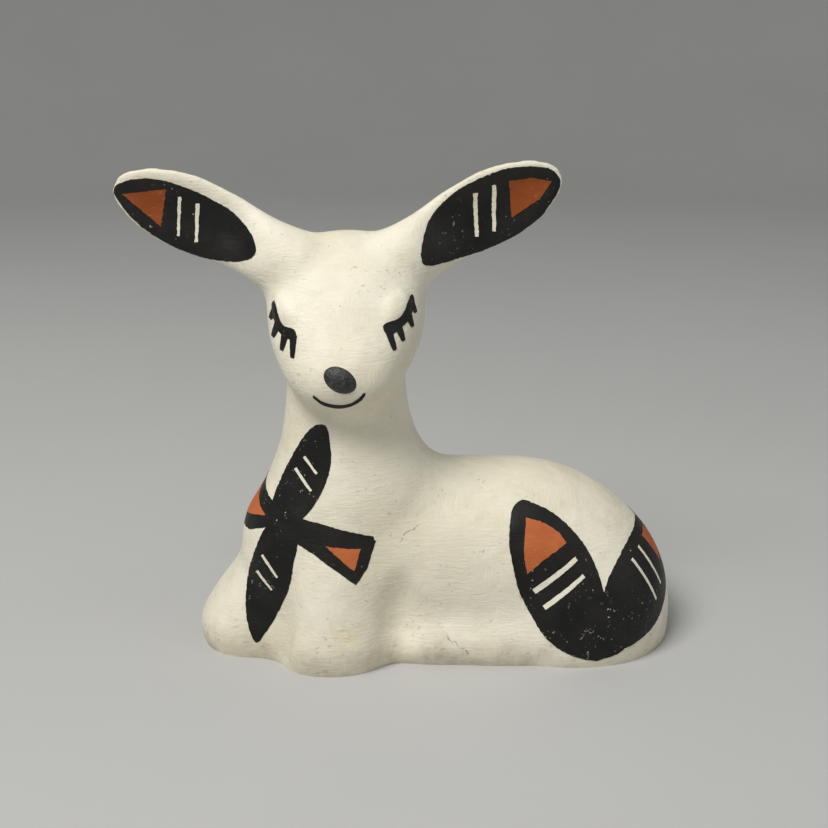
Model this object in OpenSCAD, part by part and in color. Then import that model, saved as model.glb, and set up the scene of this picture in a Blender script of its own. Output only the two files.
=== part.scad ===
// Resting fawn, a small hand-modelled pottery figure, solid clay under white slip.
// Units are millimetres. +Z is up, +X runs from chest to rump, and the fawn's left side
// and its face look towards -Y. The origin is on the floor under the middle of the figure.

/* [Body] */
// How far the rump reaches from the middle of the figure
rump_reach = 37.7; // [37.5:0.1:38.5]
// Height of the back above the floor
back_height = 25.0; // [24:0.1:26]
// Half of the depth of the body at the hips
hip_half_depth = 13.2; // [12.6:0.1:13.8]

/* [Head] */
// Height of the middle of the head above the floor
head_height = 47; // [46.5:0.1:47.5]
// Half of the width of the head at the eyes
head_half_width = 10.6; // [10.1:0.1:11.1]
// Downward slope of the line from crown to nose, in degrees
head_pitch = 38; // [36:1:40]
// Turn of the face towards the chest side, in degrees
head_turn = 7; // [4:1:10]
// Sideways tilt of the head, in degrees
head_roll = 2.5; // [0:0.5:4]

/* [Ears] */
// Length of an ear outside the head
ear_length = 22.3; // [21.5:0.1:22.7]
// Half of the width of an ear
ear_half_width = 5.4; // [5.1:0.1:5.7]
// Rise of the ears above level, in degrees
ear_rise = 23.5; // [22:0.5:26]
// Depth of the hollow in the front of an ear
ear_dish = 0.3; // [0.1:0.1:0.6]

/* [Legs] */
// How far the folded left knee reaches in front of the middle plane
knee_reach = 16.3; // [15.8:0.1:16.8]
// Height of the hind feet
hind_foot_height = 5.4; // [5:0.1:5.8]

/* [Face] */
// Width of the nose pellet
nose_width = 4.4; // [4:0.1:4.8]
// Length of an eyelid pellet
eyelid_length = 5.2; // [4.8:0.1:5.6]

/* [Hidden] */
slip = [0.90, 0.88, 0.80];
nose_black = [0.14, 0.14, 0.14];

// Place of the middle of the head, and of the roots of the ears beside it
head_at = [-7.8, 0, head_height];
ears_at = [-8.3, 0, head_height + 0.1];
ear_root_side = 9.8;
ear_root_up = 7.3;
// The left ear stands a little higher than the right one, in degrees
left_ear_lift = 2.6;
// Lean of the nose about its own middle, in degrees
nose_lean = -18;
// Bigger than the figure every way, for the floor cut
big = 120;

// ---- rounded lofts ----

function signed_pow(v, p) = sign(v) * pow(abs(v), p);

// Value at u between b and c on a smooth curve that passes a, b, c and d
function smooth_step(a, b, c, d, u) =
    0.5 * (2 * b + (c - a) * u + (2 * a - 5 * b + 4 * c - d) * u * u
           + (3 * b - a - 3 * c + d) * u * u * u);

// The station before a pole is its neighbour with the half sizes turned over,
// so that the form closes with a round end
function beyond(next) = [next[0], next[1], next[2], -next[3], -next[4]];

function station_at(list, i) =
    i < 0 ? beyond(list[1])
    : i >= len(list) ? beyond(list[len(list) - 2])
    : list[i];

function section(list, t) =
    let (s = t * (len(list) - 1), i = min(floor(s), len(list) - 2))
    smooth_step(station_at(list, i - 1), station_at(list, i),
                station_at(list, i + 1), station_at(list, i + 2), s - i);

// Ring of points of one section: [height, centre x, centre y, half x, half y]
function ring(s, sides, squareness) =
    [for (k = [0:sides - 1]) let (a = 360 * k / sides)
        [s[1] + s[3] * signed_pow(cos(a), 2 / squareness),
         s[2] + s[4] * signed_pow(sin(a), 2 / squareness), s[0]]];

function joined(lists) = [for (l = lists) each l];

// Closed skin over equal rings, with a single point at each end
module skin(first, rings, last) {
    n = len(rings[0]);
    m = len(rings);
    body = joined(rings);
    end = 1 + n * m;
    polyhedron(
        points = concat([first], body, [last]),
        faces = concat(
            [for (k = [0:n - 1]) [0, 1 + k, 1 + (k + 1) % n]],
            [for (j = [0:m - 2], k = [0:n - 1], h = [0, 1])
                let (p = 1 + j * n + k, q = 1 + j * n + (k + 1) % n)
                h == 0 ? [p, p + n, q] : [q, p + n, q + n]],
            [for (k = [0:n - 1])
                [end, 1 + (m - 1) * n + (k + 1) % n, 1 + (m - 1) * n + k]]));
}

// Smooth closed form through a list of stations stacked along +Z
module loft(stations, sides, steps, squareness = 2) {
    count = (len(stations) - 1) * steps;
    first = stations[0];
    last = stations[len(stations) - 1];
    skin([first[1], first[2], first[0]],
         [for (i = [1:count - 1]) ring(section(stations, i / count), sides, squareness)],
         [last[1], last[2], last[0]]);
}

// Turns a form stacked along +Z so that it is stacked along +X, with x and y to Y and Z
module along_x() rotate([90, 0, 90]) children();

module above_floor() {
    intersection() {
        children();
        translate([-big / 2, -big / 2, 0]) cube(big);
    }
}

// ---- forms before they are fitted to each other ----

module torso_form() {
    r = rump_reach;
    b = back_height;
    d = hip_half_depth;
    along_x() loft([
        [-22.8, -1.5, 13.5, 0, 0],
        [-21.7, -1.5, 12.8, 5.2, 6.4],
        [-17.5, -1.4, 11.6, d - 4, 11.8],
        [-11, -1, 11, d - 1.8, b - 11],
        [-4, -0.5, 11, d - 1.6, b - 10.8],
        [3, 0, 10.8, d - 1, b - 11.1],
        [10, 0.1, 10.5, d - 0.2, b - 10.9],
        [17, 0.2, 9.8, d + 0.2, b - 10.5],
        [r - 14.6, 0.3, 8.6, d - 0.1, b - 10.8],
        [r - 8.6, 0.2, 6.9, d - 1.2, b - 12.5],
        [r - 4, 0.1, 5.2, d - 3.6, b - 15.1],
        [r - 1.2, 0, 3.7, d - 7, b - 18.9],
        [r, 0, 3, 0, 0],
    ], 44, 4, 2.2);
}

module neck_form() {
    loft([
        [10, -10, -0.7, 0, 0],
        [12, -9.8, -0.7, 9.2, 8.8],
        [17, -8.8, -0.7, 12.3, 11],
        [21.5, -7.4, -0.7, 12.3, 10.8],
        [24.6, -7.1, -0.6, 11.4, 10.2],
        [26.7, -7.4, -0.5, 10.3, 9.8],
        [29, -7.7, -0.4, 9.2, 9.3],
        [32, -8, -0.2, 8.6, 8.8],
        [35.5, -8.05, 0.2, 8.1, 8.3],
        [39, -8.1, 0.8, 8.2, 7.8],
        [43.5, -8.1, 1.2, 7.5, 7],
        [47.6, -8.2, 1.4, 4.6, 4.2],
        [49, -8.2, 1.5, 0, 0],
    ], 40, 3, 2.1);
}

module head_form() {
    w = head_half_width;
    translate(head_at) rotate([0, -head_roll, -head_turn]) rotate([90 + head_pitch, 0, 0])
        loft([
            [-9, 0, 2.2, 0, 0],
            [-7.7, 0, 2, w - 4.2, 4.5],
            [-4, 0, 0.8, w - 0.8, 7.5],
            [0.8, 0, 0.4, w, 8.1],
            [5.5, 0, 0.3, w - 0.5, 7.2],
            [10, 0, 0.1, w - 2, 5.9],
            [13.8, 0, 0, w - 4, 4.6],
            [16.3, 0, 0, w - 6.4, 2.8],
            [17.1, 0, 0, 0, 0],
        ], 40, 5, 2.4);
}

// One section of an ear: round at the root, and further out a rounded back with a rim
// and a hollow in front (+Y of the ring)
function ear_ring(s, sides) =
    let (open_share = min(1, max(0, (s[0] - 0.5) / 5)))
    [for (k = [0:sides - 1])
        let (a = 360 * k / sides, f = abs(sin(a)),
             hollow = s[4] * (0.7 * pow(f, 0.7) - 0.55 * pow(f, 3)) - ear_dish * pow(f, 3))
        [s[1] + s[3] * cos(a),
         s[2] + (sin(a) > 0 ? (1 - open_share) * s[4] * f + open_share * hollow : -s[4] * f),
         s[0]]];

module ear_form() {
    l = ear_length;
    w = ear_half_width;
    stations = [
        [-9, 0.4, 0.6, 0, 0],
        [-7.8, 0.2, 0.6, 3, 3.2],
        [-5, -0.2, 0.7, w - 0.7, 4.6],
        [-2, -0.4, 0.7, w - 0.6, 4.3],
        [1.5, 0, 0.5, w - 0.8, 3.1],
        [5, 0.3, 0.2, w - 0.4, 2.3],
        [8.8, 0.35, 0, w, 1.9],
        [12.6, 0.4, 0, w - 0.1, 1.7],
        [16, 0.35, 0, w - 0.7, 1.5],
        [l - 3.2, 0.3, 0, w - 1.9, 1.3],
        [l - 1, 0.25, 0, w - 3.3, 0.9],
        [l, 0.2, 0, 0, 0],
    ];
    sides = 36;
    count = (len(stations) - 1) * 3;
    first = stations[0];
    last = stations[len(stations) - 1];
    skin([first[1], first[2], first[0]],
         [for (i = [1:count - 1]) ear_ring(section(stations, i / count), sides)],
         [last[1], last[2], last[0]]);
}

// side is 1 for the fawn's left ear and -1 for its right ear
module ear_placed(side) {
    translate(ears_at) mirror([side < 0 ? 1 : 0, 0, 0])
        translate([ear_root_side, 0.3, ear_root_up])
            rotate([0, -ear_rise - (side > 0 ? left_ear_lift : 0), 0]) rotate([90, 0, 0]) rotate([0, 90, 0])
                rotate([0, 0, 90]) ear_form();
}

module foreleg_left_form() {
    k = knee_reach;
    loft([
        [-4, -10.4, -7.7, 0, 0],
        [-3, -10.4, -7.8, 5.6, k - 10.8],
        [2, -10.5, -8, 8.6, k - 8],
        [6, -10.2, -7.3, 8.2, k - 8.2],
        [10, -9.9, -6.6, 7.6, k - 8.5],
        [14, -9.8, -6, 7, k - 8.9],
        [18, -9.6, -5.2, 5.8, k - 9.8],
        [21.5, -9.3, -4, 3.4, k - 12],
        [23, -9.2, -4, 0, 0],
    ], 40, 4, 2.1);
}

module foreleg_right_form() {
    loft([
        [-4, -21, -1, 0, 0],
        [-3, -21, -1, 4.6, 5.4],
        [2, -21.5, -1.2, 7.5, 8.5],
        [6, -20.8, -1, 6.5, 7.9],
        [9.2, -19.8, -0.8, 5.2, 7],
        [12.4, -18.6, -0.7, 3.8, 6],
        [15.5, -17.4, -0.6, 2.4, 4.4],
        [17, -17, -0.6, 0, 0],
    ], 40, 4, 2.1);
}

// The fawn's left hind leg: thigh and the foot stretched forwards beside the belly
module hind_leg_form() {
    loft([
        [-4, 23, -7, 0, 0],
        [-3, 23, -7.7, 8, 5.8],
        [2, 23, -7.9, 11.5, 7.7],
        [7.5, 23, -7, 11.6, 7.9],
        [12.5, 22.6, -5.9, 10.2, 7.1],
        [17, 22, -4.6, 7.4, 5.2],
        [20, 22, -3.5, 4, 2.6],
        [21, 22, -3.2, 0, 0],
    ], 40, 4, 2.1);
    along_x() loft([
        [-3.7, -10.1, 2, 0, 0],
        [-2.7, -10.2, 2.1, 2, 2],
        [1, -10.5, hind_foot_height - 3, 3, 2.9],
        [7, -10.8, hind_foot_height - 3, 3.3, 3],
        [13, -11, hind_foot_height - 2.9, 3.8, 3.3],
        [19, -10.3, hind_foot_height - 2.8, 4, 3.6],
        [21, -9.4, 2.6, 0, 0],
    ], 28, 4, 2.1);
}

// A pressed-on pellet of clay: a flat ball with its thickness along +Z
module pellet(length, width, thickness) {
    scale([length, width, thickness]) sphere(d = 1, $fn = 24);
}

module nose_form() {
    translate(head_at) rotate([0, -head_roll, -head_turn]) rotate([90 + head_pitch, 0, 0])
        translate([0.1, 2.9, 14.9]) rotate([-50, 0, 0]) rotate([0, 0, nose_lean])
            pellet(nose_width, 3.7, 2.2);
}

// side is 1 for the fawn's left eyelid and -1 for its right one
module eyelid_form(side) {
    translate(head_at) rotate([0, -head_roll, -head_turn]) rotate([90 + head_pitch, 0, 0])
        translate([side * 7, 5.3, 5.6]) rotate([0, 0, -side * 36]) rotate([-69, 0, 0])
            rotate([0, 0, -side * 18]) pellet(3.2, eyelid_length, 1.9);
}

// ---- the clay pieces ----

// A piece that is luted on: its form less the forms that it is pressed against
module fitted() {
    resize([0, 0, 0]) above_floor() difference() {
        children(0);
        children([1:1:$children - 1]);
    }
}

module torso() {
    color(slip) above_floor() torso_form();
}

module neck() {
    color(slip) fitted() {
        neck_form();
        torso_form();
        head_form();
    }
}

module head() {
    color(slip) fitted() {
        head_form();
        nose_form();
        eyelid_form(1);
        eyelid_form(-1);
    }
}

module nose() {
    color(nose_black) resize([0, 0, 0]) nose_form();
}

module eyelid(side) {
    color(slip) resize([0, 0, 0]) eyelid_form(side);
}

module ear(side) {
    color(slip) fitted() {
        ear_placed(side);
        head_form();
        neck_form();
        eyelid_form(side);
    }
}

module foreleg_left() {
    color(slip) fitted() {
        foreleg_left_form();
        torso_form();
        neck_form();
    }
}

module foreleg_right() {
    color(slip) fitted() {
        foreleg_right_form();
        torso_form();
        neck_form();
        foreleg_left_form();
    }
}

// side is 1 for the fawn's left hind leg and -1 for its right one
module hind_leg(side) {
    color(slip) fitted() {
        mirror([0, side < 0 ? 1 : 0, 0]) hind_leg_form();
        torso_form();
        neck_form();
        foreleg_left_form();
        foreleg_right_form();
    }
}

torso();
neck();
head();
nose();
ear(1);  // ear_left
ear(-1);  // ear_right
eyelid(1);  // eyelid_left
eyelid(-1);  // eyelid_right
foreleg_left();
foreleg_right();
hind_leg(1);  // hind_leg_left
hind_leg(-1);  // hind_leg_right
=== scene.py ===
import math
import random
import bpy
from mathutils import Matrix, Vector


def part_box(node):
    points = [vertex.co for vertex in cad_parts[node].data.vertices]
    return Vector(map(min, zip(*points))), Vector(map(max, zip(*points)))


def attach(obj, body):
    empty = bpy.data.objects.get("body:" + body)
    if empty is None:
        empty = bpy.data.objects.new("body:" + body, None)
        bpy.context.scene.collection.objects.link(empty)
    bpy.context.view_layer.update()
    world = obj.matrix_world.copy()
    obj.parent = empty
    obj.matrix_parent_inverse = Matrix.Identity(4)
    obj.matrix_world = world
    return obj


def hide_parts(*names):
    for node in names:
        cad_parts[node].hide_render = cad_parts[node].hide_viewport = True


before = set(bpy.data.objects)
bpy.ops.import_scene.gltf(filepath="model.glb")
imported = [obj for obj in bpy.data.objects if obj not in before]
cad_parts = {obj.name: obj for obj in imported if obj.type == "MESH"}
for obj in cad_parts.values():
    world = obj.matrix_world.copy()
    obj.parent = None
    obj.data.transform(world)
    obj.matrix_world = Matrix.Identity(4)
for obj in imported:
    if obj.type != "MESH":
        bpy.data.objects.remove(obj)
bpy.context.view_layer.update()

MM = 0.001


# ---- The clay figure ----
# One solid lump of potter's clay, pinched out of pressed-together lumps: body, neck, legs,
# head, ears and eyelid pellets. The joins are wiped over with a wet finger, so every lump
# flows into the next one. It rests on a flat foot.

def pick(piece):
    bpy.ops.object.select_all(action="DESELECT")
    piece.select_set(True)
    bpy.context.view_layer.objects.active = piece


def work(piece, kind, **settings):
    pick(piece)
    tool = piece.modifiers.new(kind.lower(), kind)
    for key, value in settings.items():
        setattr(tool, key, value)
    bpy.ops.object.modifier_apply(modifier=tool.name)


# A copy of a node's form, with its loose triangles joined up
def lump(node, name):
    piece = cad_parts[node].copy()
    piece.data = piece.data.copy()
    for key in list(piece.keys()):
        del piece[key]
    bpy.context.collection.objects.link(piece)
    piece.parent = None
    piece.name = name
    piece.data.name = name
    piece.data.materials.clear()
    pick(piece)
    bpy.ops.object.mode_set(mode="EDIT")
    bpy.ops.mesh.select_all(action="SELECT")
    bpy.ops.mesh.remove_doubles(threshold=1e-6)
    bpy.ops.object.mode_set(mode="OBJECT")
    return piece


def press_together(pieces):
    bpy.ops.object.select_all(action="DESELECT")
    for piece in pieces:
        piece.select_set(True)
    bpy.context.view_layer.objects.active = pieces[0]
    bpy.ops.object.join()
    return pieces[0]


# Grows a form outwards all over, or shrinks it where depth is below 0
def swell(piece, depth):
    work(piece, "DISPLACE", strength=depth, mid_level=0.0)


# Remakes the surface of a form in an even grain, as one closed skin
def knead(piece, grain):
    work(piece, "REMESH", mode="VOXEL", voxel_size=grain)


# Fills the inside corners of a form to a fillet of that radius
def fill_corners(piece, radius, grain):
    swell(piece, radius)
    knead(piece, grain)
    swell(piece, -radius)
    knead(piece, grain)


# Wipes a form smooth where share(point) is above 0
def wipe(piece, strokes, share, name):
    area = piece.vertex_groups.new(name=name)
    for v in piece.data.vertices:
        w = share(v.co)
        if w > 0:
            area.add([v.index], min(1, w), "REPLACE")
    work(piece, "SMOOTH", factor=0.5, iterations=strokes, vertex_group=name)


# Distance from a point given in millimetres, as a share of reach
def away(c, x, y, z, reach):
    return math.dist(c, (x * MM, y * MM, z * MM)) / (reach * MM)


body_grain = 0.45 * MM
body_fillet = 2.4 * MM
figure = press_together([lump(n, n + "_lump") for n in
                         ("torso", "neck", "foreleg_left", "foreleg_right",
                          "hind_leg_left", "hind_leg_right")])


def ball():
    bpy.ops.object.select_all(action="DESELECT")
    bpy.ops.mesh.primitive_uv_sphere_add(segments=32, ring_count=16, radius=MM)
    return bpy.context.object


# A pad of clay fills the rump out towards the foot
pad = ball()
bpy.ops.object.mode_set(mode="EDIT")
bpy.ops.transform.resize(value=(6, 12.5, 6.6), center_override=(0, 0, 0))
bpy.ops.transform.translate(value=(31.3 * MM, 0, 2.6 * MM))
bpy.ops.object.mode_set(mode="OBJECT")
figure = press_together([figure, pad])
# The foot is left a little long until it is rubbed down
spare_foot = 1.2 * MM
for v in figure.data.vertices:
    if v.co.z < 0.01 * MM:
        v.co.z -= spare_foot
swell(figure, 0.05 * MM)
knead(figure, body_grain)
fill_corners(figure, body_fillet, body_grain)


# Cuts a piece with a tool, or keeps what both share, or joins the two
def meet(piece, tool, how):
    work(piece, "BOOLEAN", object=tool, operation=how, solver="MANIFOLD")


def scrap(tool):
    bpy.data.meshes.remove(tool.data)


# A thumb drawn down the side of a folded leg leaves a shallow furrow
def furrow(middle, reach, lean):
    thumb = ball()
    thumb.scale = reach
    thumb.rotation_euler = (0, math.radians(lean), 0)
    thumb.location = [v * MM for v in middle]
    bpy.ops.object.transform_apply(location=True, rotation=True, scale=True)
    meet(figure, thumb, "DIFFERENCE")
    scrap(thumb)


furrow((-17.7, -12.9, 3.4), (1.7, 2.7, 8.5), 12)
furrow((-1.6, -13, 7.5), (2.8, 2.5, 6.5), 0)
knead(figure, body_grain)
wipe(figure, 14, lambda c: (c.z + 1 * MM) / (2 * MM), "sides")
wipe(figure, 50, lambda c: min((c.z - 0.5 * MM) / (4 * MM), (c.x - 4 * MM) / (6 * MM)), "flanks")
wipe(figure, 100, lambda c: min((c.z + 0.5 * MM) / (2 * MM), (c.x - 28 * MM) / (4 * MM)), "rump")
wipe(figure, 90, lambda c: (c.z - 12 * MM) / (3 * MM), "shoulders")
swell(figure, 0.1 * MM)

# The head, filled level where the nose and the eyelids are let in
skull = press_together([lump("head", "skull"), lump("eyelid_left", "lid"),
                        lump("eyelid_right", "lid"), lump("nose", "tip")])
swell(skull, 0.05 * MM)
knead(skull, body_grain)
work(skull, "SMOOTH", factor=0.5, iterations=20)
figure = press_together([figure, skull])
knead(figure, body_grain)
fill_corners(figure, body_fillet, body_grain)
wipe(figure, 60, lambda c: 2.2 - away(c, -8.3, -1, 36, 7), "jaw")

face_grain = 0.33 * MM
figure = press_together([figure, lump("ear_left", "ear"), lump("ear_right", "ear")])
knead(figure, face_grain)
fill_corners(figure, 1.8 * MM, face_grain)
wipe(figure, 90, lambda c: max(2 - away(c, -18.5, -0.5, 53.5, 6.5),
                               2 - away(c, 1.8, -0.5, 53.7, 6.5)), "ear_roots")
lids = press_together([lump("eyelid_left", "lid"), lump("eyelid_right", "lid")])
swell(lids, 0.3 * MM)
figure = press_together([figure, lids])
knead(figure, face_grain)
fill_corners(figure, 0.7 * MM, face_grain)
work(figure, "SMOOTH", factor=0.5, iterations=7)
wipe(figure, 36, lambda c: min((c.z - 50 * MM) / (2 * MM),
                               (abs(c.x + 8.3 * MM) - 13 * MM) / (3 * MM)), "ear_rims")


slab_depth = 80 * MM


# A slab whose lower face passes through a point in millimetres, square to a direction
def slab(point, direction, width=160):
    bpy.ops.object.select_all(action="DESELECT")
    bpy.ops.mesh.primitive_cube_add(size=1)
    tool = bpy.context.object
    tool.dimensions = (width * MM, width * MM, slab_depth)
    bpy.ops.object.transform_apply(scale=True)
    tool.location = (0, 0, slab_depth / 2)
    bpy.ops.object.transform_apply(location=True)
    tool.rotation_euler = (math.atan2(-direction[1], math.hypot(direction[0], direction[2])),
                           math.atan2(direction[0], direction[2]), 0)
    tool.location = [v * MM for v in point]
    bpy.ops.object.transform_apply(location=True, rotation=True)
    return tool


# The foot is rubbed flat on the bench
figure.vertex_groups.clear()
bench = slab((0, 0, 0), (0, 0, 1))
meet(figure, bench, "INTERSECT")
scrap(bench)
pick(figure)
bpy.ops.object.shade_smooth()


# ---- White slip ----
# Fine cream-white liquid clay, brushed on in several coats and rubbed with a stone: faint
# brush lines, pin holes, dark specks, a few hairline cracks and a light, uneven sheen.

# A new material, its node tree, its shader and the place on the piece
def surface_nodes(name):
    finish = bpy.data.materials.new(name)
    finish.use_nodes = True
    tree = finish.node_tree
    shader = tree.nodes["Principled BSDF"]
    place = tree.nodes.new("ShaderNodeTexCoord").outputs["Object"]
    return finish, tree, shader, place


# Adds a node; an input is either a number or colour, or the socket that feeds it
def put(tree, kind, inputs=(), **settings):
    node = tree.nodes.new("ShaderNode" + kind)
    for key, value in settings.items():
        setattr(node, key, value)
    for key, value in dict(inputs).items():
        if isinstance(value, bpy.types.NodeSocket):
            tree.links.new(value, node.inputs[key])
        else:
            node.inputs[key].default_value = value
    return node


# The place, stretched along each axis and turned, for a pattern that lies aslant
def turned(tree, place, scale, turn):
    return put(tree, "Mapping", {"Vector": place, "Scale": scale,
                                 "Rotation": turn}).outputs["Vector"]


def cloudy(tree, place, scale, detail=4, rough=0.55):
    return put(tree, "TexNoise", {"Vector": place, "Scale": scale, "Detail": detail,
                                  "Roughness": rough}).outputs["Fac"]


# Brings low..high of a value to from_..to, clamped
def spread(tree, value, low, high, from_=0.0, to=1.0):
    return put(tree, "MapRange", {"Value": value, "From Min": low, "From Max": high,
                                  "To Min": from_, "To Max": to}).outputs["Result"]


def sums(tree, how, a, b):
    return put(tree, "Math", {0: a, 1: b}, operation=how).outputs[0]


# Colour a where share is 0, colour b where it is 1
def tint(tree, share, a, b):
    node = put(tree, "Mix", {"Factor": share}, data_type="RGBA")
    for socket, value in ((node.inputs[6], a), (node.inputs[7], b)):
        if isinstance(value, bpy.types.NodeSocket):
            tree.links.new(value, socket)
        else:
            socket.default_value = (*value, 1)
    return node.outputs[2]


# Brush lines: long thin streaks that lie in three directions from patch to patch
def brush_lines(tree, place):
    sway = put(tree, "TexNoise", {"Vector": place, "Scale": 160.0, "Detail": 2.0})
    place = put(tree, "VectorMath", {0: put(tree, "VectorMath", {
        0: sway.outputs["Color"], 1: (0.0016, 0.0016, 0.0016)}, operation="MULTIPLY").outputs[0],
        1: place}, operation="ADD").outputs[0]
    patch = cloudy(tree, place, 150, 1)
    level = cloudy(tree, turned(tree, place, (520, 900, 3300), (0.15, 0.2, 0)), 1, 3)
    slanted = cloudy(tree, turned(tree, place, (520, 900, 3500), (0.1, 0.8, 0.3)), 1, 3)
    upright = cloudy(tree, turned(tree, place, (2800, 900, 520), (0, -0.35, 0)), 1, 3)
    first = put(tree, "Mix", {0: spread(tree, patch, 0.42, 0.52), 2: level, 3: slanted})
    return put(tree, "Mix", {0: spread(tree, patch, 0.55, 0.64), 2: first.outputs[0],
                             3: upright}).outputs[0]


# 1 along a thin wandering line from start to end, broken here and there
def hairline(tree, place, start, end):
    middle = [(p + q) / 2 for p, q in zip(start, end)]
    across = (start[2] - end[2], 0, end[0] - start[0])
    long = math.hypot(across[0], across[2])
    off = put(tree, "VectorMath", {0: place, 1: middle}, operation="SUBTRACT").outputs[0]
    side = put(tree, "VectorMath", {0: off, 1: [v / long for v in across]},
               operation="DOT_PRODUCT").outputs["Value"]
    sway = spread(tree, cloudy(tree, place, 700, 3), 0.3, 0.7, -0.0005, 0.0005)
    line = spread(tree, sums(tree, "ABSOLUTE", sums(tree, "ADD", side, sway), 0),
                  0.00009, 0.00003)
    reach = put(tree, "VectorMath", {0: off}, operation="LENGTH").outputs["Value"]
    ends = spread(tree, reach, long * 0.55, long * 0.45)
    gaps = spread(tree, cloudy(tree, place, 1300, 2), 0.44, 0.5)
    return sums(tree, "MULTIPLY", sums(tree, "MULTIPLY", line, ends), gaps)


thin_cream, full_cream = (0.72, 0.665, 0.51), (0.83, 0.79, 0.66)
dull_cream, bright_cream = (0.62, 0.56, 0.43), (0.86, 0.84, 0.76)
# The first brown below is painted shade for the foot; the yellow stain and the crack brown are
# real marks
foot_shade_brown, yellow_stain, crack_brown = (0.42, 0.34, 0.22), (0.62, 0.47, 0.12), (0.36, 0.20, 0.11)
hole_brown, speck_brown = (0.45, 0.37, 0.25), (0.20, 0.15, 0.10)


def slip(name):
    finish, tree, shader, place = surface_nodes(name)
    lines = brush_lines(tree, place)
    broad = cloudy(tree, place, 70, 3)
    mottle = cloudy(tree, place, 420, 5, 0.65)
    colour = tint(tree, spread(tree, broad, 0.32, 0.7), thin_cream, full_cream)
    colour = tint(tree, spread(tree, mottle, 0.5, 0.8, 0, 0.45), colour, dull_cream)
    colour = tint(tree, spread(tree, lines, 0.5, 0.75, 0, 0.25), colour, bright_cream)
    # Painted shade: mottled darkening towards the foot, where the figure meets the floor
    height = put(tree, "SeparateXYZ", {"Vector": place}).outputs["Z"]
    foot = sums(tree, "MULTIPLY", spread(tree, height, 0.006, 0), spread(tree, mottle, 0.35, 0.7))
    colour = tint(tree, sums(tree, "MULTIPLY", foot, 0.5), colour, foot_shade_brown)
    # A yellowish stain low on the near foreleg
    spot = put(tree, "VectorMath", {0: place, 1: (-0.009, -0.0148, 0.006)}, operation="DISTANCE")
    stain = sums(tree, "MULTIPLY", spread(tree, spot.outputs["Value"], 0.0028, 0.0006),
                 spread(tree, cloudy(tree, place, 900), 0.48, 0.62))
    colour = tint(tree, sums(tree, "MULTIPLY", stain, 0.55), colour, yellow_stain)
    # Two broken hairline cracks: on the flank beside the tail of the bird, and on the foot
    crack = sums(tree, "MAXIMUM",
                 hairline(tree, place, (-0.0014, -0.0113, 0.0174), (0.0019, -0.0104, 0.0191)),
                 hairline(tree, place, (0.004, -0.0124, 0.0051), (0.0078, -0.0134, 0.0014)))
    colour = tint(tree, sums(tree, "MULTIPLY", crack, 0.75), colour, crack_brown)
    holes = sums(tree, "MULTIPLY", spread(tree, cloudy(tree, place, 1700, 2), 0.665, 0.70),
                 spread(tree, cloudy(tree, place, 200, 2), 0.50, 0.58))
    specks = sums(tree, "MULTIPLY", spread(tree, cloudy(tree, place, 1100, 4, 0.7), 0.715, 0.735),
                  spread(tree, cloudy(tree, place, 120, 2), 0.50, 0.60))
    colour = tint(tree, sums(tree, "MULTIPLY", holes, 0.3), colour, hole_brown)
    colour = tint(tree, sums(tree, "MULTIPLY", specks, 0.6), colour, speck_brown)
    tree.links.new(colour, shader.inputs["Base Color"])
    rough = spread(tree, cloudy(tree, place, 150, 4), 0.35, 0.7, 0.46, 0.62)
    tree.links.new(sums(tree, "ADD", rough, spread(tree, lines, 0.4, 0.7, 0, 0.06)),
                   shader.inputs["Roughness"])
    shader.inputs["Specular IOR Level"].default_value = 0.5
    shader.inputs["Subsurface Weight"].default_value = 0.06
    shader.inputs["Subsurface Radius"].default_value = (0.5, 0.35, 0.2)
    shader.inputs["Subsurface Scale"].default_value = 0.0012
    uneven = put(tree, "Bump", {"Height": cloudy(tree, place, 130, 2), "Strength": 0.5,
                                "Distance": 0.0012})
    grain = put(tree, "Bump", {"Height": lines, "Strength": 0.6, "Distance": 0.00015,
                               "Normal": uneven.outputs[0]})
    fine = put(tree, "Bump", {"Height": cloudy(tree, place, 1250, 5), "Strength": 0.45,
                              "Distance": 0.00012, "Normal": grain.outputs[0]})
    pits = put(tree, "Bump", {"Height": sums(tree, "ADD", holes, crack), "Strength": 0.7,
                              "Distance": 0.00012, "Normal": fine.outputs[0]}, invert=True)
    tree.links.new(pits.outputs[0], shader.inputs["Normal"])
    return finish


white_slip = slip("white_slip")


# ---- The lumps, taken apart ----
# Each lump of slipped clay is a piece of its own: two ears, the head with two eyelid
# pellets, the neck, two folded forelegs, two hind legs, and the torso that carries them.
# They are parted along the wiped-over joins, where the maker pressed them on.

def same_again(piece, name):
    copy = piece.copy()
    copy.data = piece.data.copy()
    copy.name = name
    copy.data.name = name
    bpy.context.collection.objects.link(copy)
    return copy


def coat_with(piece, finish):
    piece.data.materials.clear()
    piece.data.materials.append(finish)
    for face in piece.data.polygons:
        face.material_index = 0


# Parts off the piece of the figure that lies inside the tool
def part_off(name, tool, *nodes):
    piece = same_again(rest, name)
    meet(piece, tool, "INTERSECT")
    meet(rest, tool, "DIFFERENCE")
    scrap(tool)
    hand_over(piece, *nodes)


def hand_over(piece, *nodes):
    coat_with(piece, white_slip)
    pick(piece)
    bpy.ops.object.shade_smooth_by_angle(angle=math.radians(50))
    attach(piece, "root")
    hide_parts(*nodes)


# The form of a node, grown a little so that it takes in the wiped-over join
def around(node, reach):
    tool = lump(node, node + "_cutter")
    swell(tool, reach)
    knead(tool, 0.5 * MM)
    return tool


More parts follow.
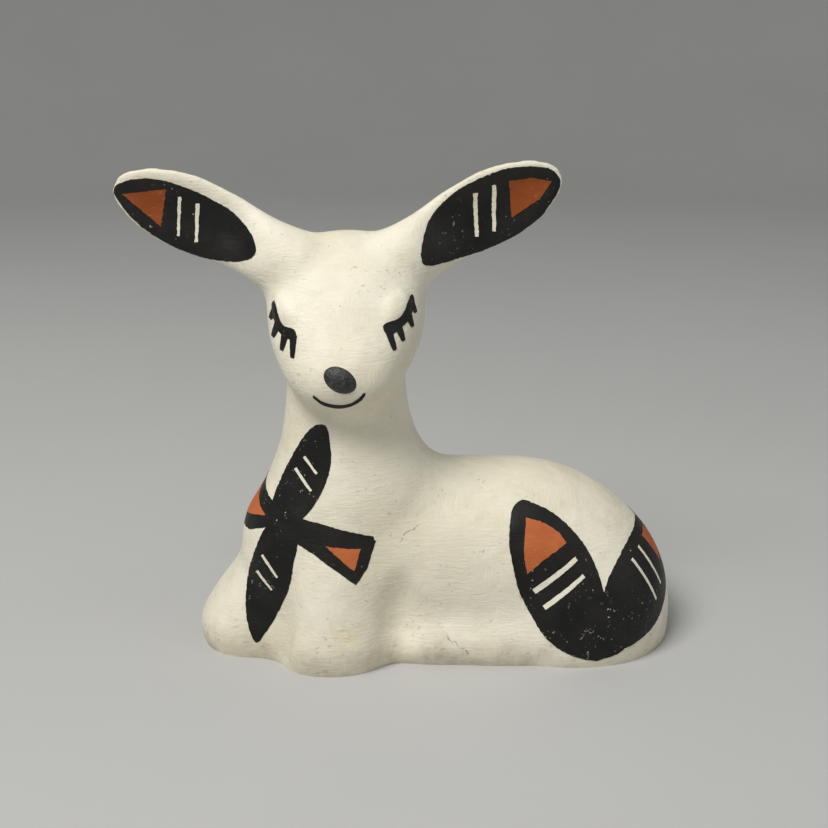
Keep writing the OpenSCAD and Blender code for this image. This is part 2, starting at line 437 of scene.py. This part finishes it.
rest = same_again(figure, "torso_clay")
part_off("ear_left_clay", slab((2.6, 0, 55), (0.9, 0, 0.42), 40), "ear_left")
part_off("ear_right_clay", slab((-19.2, 0, 54.6), (-0.9, 0, 0.42), 40), "ear_right")
for node in ("eyelid_left", "eyelid_right"):
    part_off(node + "_clay", around(node, 0.5 * MM), node)
part_off("head_clay", slab((-8, -10, 35.6), (0, -0.5, 0.85)), "head")
part_off("neck_clay", slab((-8, 0, 24.5), (-0.22, 0, 0.95)), "neck")
for node in ("foreleg_left", "foreleg_right", "hind_leg_left", "hind_leg_right"):
    part_off(node + "_clay", around(node, 0.8 * MM), node)
hand_over(rest, "torso")


# ---- Paints ----
# Black and orange earth colours, brushed over the slip in one thin coat. The brush leaves
# a slightly ragged edge, and the black is worn through to the slip in small flecks.

# 1 on small dots, one to a cell, only in the share of the cells that is asked for
def dots(tree, place, scale, size, share):
    cells = put(tree, "TexVoronoi", {"Vector": place, "Scale": scale})
    chosen = put(tree, "SeparateColor", {"Color": cells.outputs["Color"]}).outputs[0]
    near = spread(tree, cells.outputs["Distance"], size, size * 0.5)
    return sums(tree, "MULTIPLY", near, spread(tree, chosen, share, share - 0.01))


slip_under_paint = (0.60, 0.55, 0.44)


def earth_paint(name, light, dark, shine, worn):
    finish, tree, shader, place = surface_nodes(name)
    lines = brush_lines(tree, place)
    broad = cloudy(tree, place, 160, 4)
    fine = cloudy(tree, place, 1500, 6, 0.7)
    colour = tint(tree, spread(tree, broad, 0.35, 0.68), dark, light)
    colour = tint(tree, spread(tree, fine, 0.4, 0.75, 0, 0.4), colour, dark)
    flecks = sums(tree, "MULTIPLY", spread(tree, cloudy(tree, place, 1900, 3, 0.6), 0.655, 0.69),
                  spread(tree, cloudy(tree, place, 110, 3), 0.50, 0.62))
    pin = dots(tree, place, 900, 0.12, 0.07)
    bare = sums(tree, "MULTIPLY", sums(tree, "MAXIMUM", flecks, pin), worn)
    colour = tint(tree, bare, colour, slip_under_paint)
    tree.links.new(colour, shader.inputs["Base Color"])
    tree.links.new(spread(tree, fine, 0.3, 0.75, shine, shine + 0.22), shader.inputs["Roughness"])
    shader.inputs["Specular IOR Level"].default_value = 0.26
    uneven = put(tree, "Bump", {"Height": cloudy(tree, place, 130, 2), "Strength": 0.5,
                                "Distance": 0.0012})
    grain = put(tree, "Bump", {"Height": lines, "Strength": 0.5, "Distance": 0.00012,
                               "Normal": uneven.outputs[0]})
    chips = put(tree, "Bump", {"Height": sums(tree, "ADD", bare, fine), "Strength": 0.5,
                               "Distance": 0.00006, "Normal": grain.outputs[0]}, invert=True)
    tree.links.new(chips.outputs[0], shader.inputs["Normal"])
    return finish


black_paint = earth_paint("black_paint", (0.017, 0.016, 0.015), (0.006, 0.006, 0.006), 0.38, 0.8)
orange_paint = earth_paint("orange_paint", (0.56, 0.155, 0.045), (0.40, 0.10, 0.03), 0.5, 0.25)

# Orange fields and cream bars lie on top of the black, and every coat reaches a little into
# the slip, so that it is closed underneath
coat = 0.05 * MM
raised = 1.8 * coat
under_coat = 0.12 * MM
hand = random.Random(7)


# A smooth closed line through corner points; a point given twice stays a sharp corner
def drawn(points, wobble=0.05, step=0.35):
    line = []
    n = len(points)
    for i in range(n):
        a, b, c, d = (points[(i + k) % n] for k in (-1, 0, 1, 2))
        if b == c:
            continue
        if a == b:
            a = (2 * b[0] - c[0], 2 * b[1] - c[1])
        if c == d:
            d = (2 * c[0] - b[0], 2 * c[1] - b[1])
        count = max(1, round(math.dist(b, c) / step))
        for k in range(count):
            u = k / count
            line.append([0.5 * (2 * q + (r - p) * u + (2 * p - 5 * q + 4 * r - s) * u * u
                                + (3 * q - p - 3 * r + s) * u ** 3) + hand.uniform(-wobble, wobble)
                         for p, q, r, s in zip(a, b, c, d)])
    return line


# A block whose outline is drawn on an upright sheet (across, up), pushed through the figure
# from front to back millimetres; the sheet is turned about +Z by turn degrees
def block(points, front, back, turn=0.0, wobble=0.05):
    line = drawn(points, wobble)
    bpy.ops.object.select_all(action="DESELECT")
    bpy.ops.mesh.primitive_circle_add(vertices=len(line), radius=MM, fill_type="NGON")
    tool = bpy.context.object
    for v, (x, z) in zip(tool.data.vertices, line):
        v.co = (x * MM, front * MM, z * MM)
    bpy.ops.object.mode_set(mode="EDIT")
    bpy.ops.mesh.select_all(action="SELECT")
    bpy.ops.mesh.extrude_region_move(TRANSFORM_OT_translate={"value": (0, (back - front) * MM, 0)})
    bpy.ops.mesh.select_all(action="SELECT")
    bpy.ops.mesh.normals_make_consistent(inside=False)
    bpy.ops.object.mode_set(mode="OBJECT")
    tool.rotation_euler = (0, 0, math.radians(turn))
    bpy.ops.object.transform_apply(location=True, rotation=True)
    return tool


# All the blocks as one
def shapes(tools):
    for tool in tools[1:]:
        meet(tools[0], tool, "UNION")
        scrap(tool)
    return tools[0]


painted_over = same_again(figure, "coat_under")
swell(painted_over, -under_coat)
coats = {}


# The thin coat of paint that lies on the figure inside the blocks
def brush_on(name, tools, finish, thickness):
    if thickness not in coats:
        coats[thickness] = same_again(figure, "coat")
        swell(coats[thickness], thickness)
    tool = shapes(tools)
    film = same_again(coats[thickness], name)
    meet(film, tool, "INTERSECT")
    meet(film, painted_over, "DIFFERENCE")
    scrap(tool)
    coat_with(film, finish)
    pick(film)
    bpy.ops.object.shade_smooth_by_angle(angle=math.radians(40))
    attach(film, "root")


# ---- Painted ears ----
# The hollow of each ear is brushed black, with a rim of bare slip left round it. On the black lie
# an orange three-cornered field near the tip, in a darker orange that is painted shade, and two
# thin cream bars.

# Each point given twice, so that the outline keeps it sharp
def corners(*points):
    return [p for p in points for _ in (0, 1)]


# A straight stroke of the brush from a to b
def stroke(a, b, width):
    along = math.dist(a, b)
    u = ((b[0] - a[0]) / along, (b[1] - a[1]) / along)
    n = (-u[1] * width / 2, u[0] * width / 2)
    return corners((a[0] + n[0], a[1] + n[1]), (a[0] - n[0], a[1] - n[1]),
                   (b[0] - n[0] * 0.8, b[1] - n[1] * 0.8), (b[0] + n[0] * 0.8, b[1] + n[1] * 0.8))


ear_front, ear_middle = -9, 0.9


def ear_blocks(outlines, wobble=0.05):
    return [block(p, ear_front, ear_middle, wobble=wobble) for p in outlines]


# A darker copy of the orange paint for the ears: painted shade for the ear hollows, which lie in
# shade
shaded_orange_paint = earth_paint("shaded_orange_paint", (0.31, 0.072, 0.012), (0.22, 0.048, 0.008),
                                0.5, 0.25)
brush_on("ear_right_black", ear_blocks([
    [(-37.9, 62.2), (-36.2, 63.6), (-33, 63.9), (-29.6, 63.1), (-25.5, 61.3), (-22.1, 59.1),
     (-19.8, 56), (-20, 54), (-22.8, 53.1), (-27.5, 53.6), (-31.8, 55.7), (-35.3, 58.4)]]),
    black_paint, coat)
brush_on("ear_right_orange", ear_blocks([corners((-36.8, 61.9), (-31.1, 62.5), (-32, 57.7))]),
         shaded_orange_paint, raised)
brush_on("ear_right_bars", ear_blocks([stroke((-29.4, 61.5), (-29.8, 56.4), 0.45),
                                       stroke((-27.1, 60.6), (-27.5, 55.6), 0.5)], 0.06),
         white_slip, raised)

brush_on("ear_left_black", ear_blocks([
    [(17.2, 65.1), (19.5, 64.6), (20.7, 63.1), (19.9, 60.9), (17.4, 57.6), (14.3, 55.5),
     (11.3, 54.2), (6.1, 52.9), (3, 52.6), (1.9, 53.6), (2.3, 56.4), (3.7, 59.2), (6.5, 61.8),
     (9.6, 63.5), (13.6, 64.9)]]),
    black_paint, coat)
brush_on("ear_left_orange", ear_blocks([
    corners((13.8, 63.2), (16.8, 63.6), (19.5, 63.1), (17.9, 60.8), (14.2, 58.4))]),
    shaded_orange_paint, raised)
brush_on("ear_left_bars", ear_blocks([stroke((9.3, 61.7), (9.6, 55.9), 0.6),
                                      stroke((11.8, 62.7), (11.9, 56.6), 0.6)], 0.06),
         white_slip, raised)


# ---- Painted face ----
# Closed eyes: a black line brushed along the lower edge of each eyelid, with four short
# lashes drawn down from it, and a thin smiling mouth under the nose.

# One eyelash: a short stroke that narrows to a round tip
def lash(a, b, width):
    u = ((b[0] - a[0]) / math.dist(a, b), (b[1] - a[1]) / math.dist(a, b))
    n = (-u[1] * width / 2, u[0] * width / 2)
    return [(b[0] - n[0] * 0.45, b[1] - n[1] * 0.45), (b[0] + n[0] * 0.45, b[1] + n[1] * 0.45),
            *corners((a[0] + n[0], a[1] + n[1]), (a[0] - n[0], a[1] - n[1]))]


face_front, cheek, temple = -14, -3, -1
brush_on("lashes_right", [
    block([(-17.3, 48.7), (-17, 47.9), (-16.6, 46.6), (-16.1, 46), (-15.5, 45.9),
           (-14.8, 45.7), (-14.5, 45.2), (-14.8, 44.6), (-15.7, 44.5), (-16.7, 45),
           (-17.3, 46), (-17.7, 47.2), (-17.7, 48.2)], face_front, temple, wobble=0.03),
    block(lash((-17.3, 47.6), (-18, 46.2), 0.8), face_front, temple, wobble=0.02),
    block(lash((-16.9, 46), (-17.7, 44.1), 0.9), face_front, temple, wobble=0.02),
    block(lash((-16, 45), (-16.5, 42.9), 0.95), face_front, temple, wobble=0.02),
    block(lash((-14.9, 45.1), (-15.1, 42.3), 1), face_front, cheek, wobble=0.02)],
    black_paint, coat)
brush_on("lashes_left", [
    block([(0.5, 49.5), (0.8, 48.8), (0.6, 47.7), (0, 46.7), (-0.9, 46), (-2.2, 45.3),
           (-3.1, 45.4), (-3.5, 46.3), (-2.6, 46.8), (-1.6, 47), (-0.8, 47.7), (-0.1, 49)],
          face_front, temple, wobble=0.03),
    block(lash((0.4, 48.6), (1, 47.2), 0.8), face_front, temple, wobble=0.02),
    block(lash((-0.1, 47.3), (0.5, 45.6), 0.9), face_front, temple, wobble=0.02),
    block(lash((-1.5, 46.1), (-0.8, 44.2), 1), face_front, cheek, wobble=0.02),
    block(lash((-2.9, 46.1), (-2, 43.3), 1.05), face_front, cheek, wobble=0.02)],
    black_paint, coat)
brush_on("mouth", [
    block([(-12.5, 38), (-11.2, 37.1), (-9.4, 36.7), (-7.8, 37), (-6.7, 37.8), (-6.1, 38.5),
           (-5.9, 38.3), (-6.4, 37.4), (-7.7, 36.5), (-9.4, 36.1), (-11.3, 36.6),
           (-12.6, 37.7)], -16, -9, wobble=0.02)],
    black_paint, coat)


# ---- Nose ----
# A flat pellet of clay pressed on to the muzzle and painted black, with a little more
# polish than the flat paint.

def nose_paint(name):
    finish, tree, shader, place = surface_nodes(name)
    broad = cloudy(tree, place, 500, 4)
    fine = cloudy(tree, place, 2600, 5, 0.7)
    colour = tint(tree, spread(tree, broad, 0.35, 0.7), (0.012, 0.012, 0.013),
                  (0.032, 0.032, 0.034))
    colour = tint(tree, spread(tree, fine, 0.52, 0.66, 0, 0.6), colour, (0.09, 0.09, 0.09))
    tree.links.new(colour, shader.inputs["Base Color"])
    tree.links.new(spread(tree, fine, 0.3, 0.7, 0.24, 0.5), shader.inputs["Roughness"])
    bump = put(tree, "Bump", {"Height": cloudy(tree, place, 1500, 4, 0.7), "Strength": 0.9,
                               "Distance": 0.00025})
    tree.links.new(bump.outputs[0], shader.inputs["Normal"])
    return finish


nose = lump("nose", "nose_clay")
swell(nose, 0.15 * MM)
knead(nose, 0.16 * MM)
work(nose, "SMOOTH", factor=0.5, iterations=12)
nose_middle = [(low + high) / 2 for low, high in zip(*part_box("nose"))]
bpy.ops.object.mode_set(mode="EDIT")
bpy.ops.mesh.select_all(action="SELECT")
bpy.ops.transform.rotate(value=math.radians(30), orient_axis="Y", center_override=nose_middle)
bpy.ops.transform.resize(value=(1.07, 1.08, 0.9), center_override=nose_middle)
bpy.ops.transform.rotate(value=math.radians(-30), orient_axis="Y", center_override=nose_middle)
bpy.ops.object.mode_set(mode="OBJECT")
nose.data.materials.append(nose_paint("nose_paint"))
pick(nose)
bpy.ops.object.shade_smooth()
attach(nose, "root")
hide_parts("nose")


# ---- Painted chest ----
# A bird brushed on in black: two leaves that meet end to end, crossed by two flared tails.
# Each tail has an orange field, and each leaf a pair of thin cream bars.

chest_front, chest_middle = -25, -2
far_side = -60
brush_on("chest_black", [
    block([(-12.5, 32.4), (-11.6, 32.8), (-10.8, 32.3), (-10.4, 29.5), (-10.5, 27.2),
           (-11.4, 24.6), (-13.1, 21.7), (-14.9, 19.8), (-16.5, 19.5), (-18.2, 21.4),
           (-17.4, 23.9), (-15.8, 27.3), (-14, 30.6)], chest_front, chest_middle),
    block([(-14.9, 20.3), (-15, 17), (-15.5, 14.8), (-16.3, 11), (-18.1, 6.6), (-19.7, 4),
           (-20.8, 2.6), (-21.6, 3.7), (-22.2, 6.2), (-22.2, 8.8), (-21.6, 12.6),
           (-20.5, 15.9), (-19.2, 18.5), (-17, 20.5)], chest_front, chest_middle),
    block(corners((-15.5, 20.5), (-12, 20), (-8.3, 19), (-5, 18.1)) +
          corners((-4.7, 17.4), (-5.9, 14), (-7.4, 12.1)) +
          corners((-9, 13.4), (-12.6, 15.8), (-16, 17.6)), chest_front, -4),
    block(corners((1, 20.6), (-3.4, 21.6), (-11.5, 23.8)) + corners((-13.6, 21.6), (-13.2, 16.6)) +
          corners((-6.1, 17.3), (-2.8, 18.4), (1, 19)), -40, -8, turn=far_side)],
    black_paint, coat)
brush_on("chest_orange", [
    block(corners((-11.3, 17.1), (-6.7, 16.6), (-7.6, 13.9)), chest_front, -4),
    block(corners((-3.6, 19.8), (-10.8, 22.3), (-11.9, 18)), -40, -8, turn=far_side)],
    orange_paint, raised)
brush_on("chest_bars", [
    block(stroke((-13.9, 28.2), (-12.3, 26.3), 0.4), chest_front, chest_middle, wobble=0.03),
    block(stroke((-15.1, 26.5), (-13.1, 24), 0.45), chest_front, chest_middle, wobble=0.03),
    block(stroke((-19.8, 14.8), (-17.8, 12.2), 0.4), chest_front, chest_middle, wobble=0.03),
    block(stroke((-20.6, 12.4), (-18.6, 10.2), 0.4), chest_front, chest_middle, wobble=0.03)],
    white_slip, raised)


# ---- Painted haunches ----
# On each haunch two black leaves are brushed that spring from one root, like a V. Each leaf
# has an orange field at its tip and two slanting cream bars.

def flipped(tool):
    pick(tool)
    bpy.ops.object.mode_set(mode="EDIT")
    bpy.ops.mesh.select_all(action="SELECT")
    bpy.ops.transform.mirror(constraint_axis=(False, True, False), center_override=(0, 0, 0))
    bpy.ops.mesh.normals_make_consistent(inside=False)
    bpy.ops.object.mode_set(mode="OBJECT")
    return tool


rump_turn = 50


# flank is drawn on the upright sheet beside the figure, rump on one turned towards +X
def haunch_blocks(flank, rump, side, wobble=0.05):
    made = [block(p, -25, -2, wobble=wobble) for p in flank]
    made += [block(p, -50, -20, turn=rump_turn, wobble=wobble) for p in rump]
    return made if side == "left" else [flipped(tool) for tool in made]


for side in ("left", "right"):
    brush_on("haunch_" + side + "_black", haunch_blocks([
        [(15.3, 21.6), (16.5, 21.3), (19, 20.2), (21.3, 18.4), (23.3, 16.1), (24.6, 13.6),
         (25.3, 11.6)] + corners((25.7, 10)) +
        [(27.6, 8), (29, 5), (28.4, 2.2), (25.1, 1.1), (24.1, 1.1),
         (21.8, 1.7), (19.6, 2.8), (17.5, 4.7), (15.8, 7.4), (14.3, 10.5), (13.5, 13.8),
         (13.1, 16.3), (13.2, 18.8), (13.9, 20.9)]],
        [corners((5.6, 9.9)) +
         [(7.6, 12.4), (11.2, 14.8), (15, 16), (18.9, 16.4), (21, 15.9), (22.6, 14.6),
          (22.8, 12.8), (22, 11), (20.4, 9), (18.6, 7.3), (16.4, 5.9), (13, 4.4), (9.8, 3.2),
          (6.5, 2.4), (4, 4), (4, 8)]], side),
        black_paint, coat)
    brush_on("haunch_" + side + "_orange", haunch_blocks([
        corners((15.5, 19.8)) + [(18, 19), (19.8, 17.8)] + corners((20.8, 16.5)) +
        [(17.7, 14.6)] + corners((15.4, 12.8)) + [(15, 15.6)]],
        [corners((16.8, 14.9), (18.7, 11.1)) + [(20.8, 12)] + corners((21.6, 13.6)) +
         [(19.8, 15.1)]], side),
        orange_paint, raised)
    brush_on("haunch_" + side + "_bars", haunch_blocks([
        stroke((16.3, 10.4), (22.1, 14.5), 0.75), stroke((17.6, 8.3), (23, 12.4), 0.65)],
        [stroke((14.2, 14.3), (16.5, 8.7), 0.5), stroke((11.6, 13.4), (13.9, 7.4), 0.5)],
        side, 0.03),
        white_slip, raised)

for left_over in [figure, painted_over, *coats.values()]:
    scrap(left_over)


# ---- Floor, light and camera ----
# A plain pale floor curved up all round, a large soft light above and in front, a weaker
# one from the side, and the camera a little above the figure.

# Goes into edit mode with the edges chosen whose two ends are both inside
def choose_edges(piece, inside):
    bpy.ops.object.mode_set(mode="OBJECT")
    for f in piece.data.polygons:
        f.select = False
    for v in piece.data.vertices:
        v.select = inside(v.co)
    for e in piece.data.edges:
        e.select = all(piece.data.vertices[i].select for i in e.vertices)
    bpy.ops.object.mode_set(mode="EDIT")
    bpy.ops.mesh.select_mode(type="EDGE")


bpy.ops.object.select_all(action="DESELECT")
bpy.ops.mesh.primitive_circle_add(vertices=96, radius=0.9)
floor = bpy.context.object
choose_edges(floor, lambda c: True)
bpy.ops.mesh.extrude_edges_move(TRANSFORM_OT_translate={"value": (0, 0, 0.8)})
choose_edges(floor, lambda c: c.z < 0.1)
bpy.ops.mesh.edge_face_add()
choose_edges(floor, lambda c: c.z < 0.1)
bpy.ops.mesh.bevel(offset=0.4, segments=20, affect="EDGES")
bpy.ops.object.mode_set(mode="OBJECT")
bpy.ops.object.shade_smooth()
floor.name = "floor"
pale, tree, shader, place = surface_nodes("pale_card")
tree.links.new(tint(tree, cloudy(tree, place, 14, 3), (0.46, 0.46, 0.45), (0.50, 0.50, 0.49)),
               shader.inputs["Base Color"])
shader.inputs["Roughness"].default_value = 0.8
floor.data.materials.append(pale)


# Turns a light or the camera to look at a point, kept level
def aim_at(thing, point):
    bpy.context.view_layer.update()
    way = [p - q for p, q in zip(point, thing.location)]
    flat = math.hypot(way[0], way[1])
    thing.rotation_euler = (math.atan2(flat, -way[2]), 0, math.atan2(-way[0], way[1]))


def soft_light(name, place, aim, size, power, colour):
    bpy.ops.object.light_add(type="AREA", location=place)
    light = bpy.context.object
    light.name = name
    light.data.shape = "RECTANGLE"
    light.data.size, light.data.size_y = size
    light.data.energy = power
    light.data.color = colour
    aim_at(light, aim)


soft_light("window", (-0.22, -0.24, 0.50), (0, 0, 0.03), (0.3, 0.26), 3.0, (1, 0.985, 0.95))
soft_light("room", (0.5, -0.25, 0.3), (0, 0, 0.03), (0.4, 0.4), 0.45, (0.95, 0.97, 1))

sky = bpy.data.worlds.new("sky")
sky.use_nodes = True
sky.node_tree.nodes["Background"].inputs["Color"].default_value = (0.80, 0.82, 0.84, 1)
sky.node_tree.nodes["Background"].inputs["Strength"].default_value = 0.42
bpy.context.scene.world = sky
bpy.context.scene.view_settings.view_transform = "Standard"

turn, rise, reach = math.radians(-4), math.radians(16), 0.190
target = (0.0012, 0, 0.0315)
bpy.ops.object.camera_add(location=(target[0] + reach * math.sin(turn) * math.cos(rise),
                                    target[1] - reach * math.cos(turn) * math.cos(rise),
                                    target[2] + reach * math.sin(rise)))
camera = bpy.context.object
camera.data.lens = 60
camera.data.sensor_width = 36
camera.data.clip_start = 0.005
aim_at(camera, target)
bpy.context.scene.camera = camera
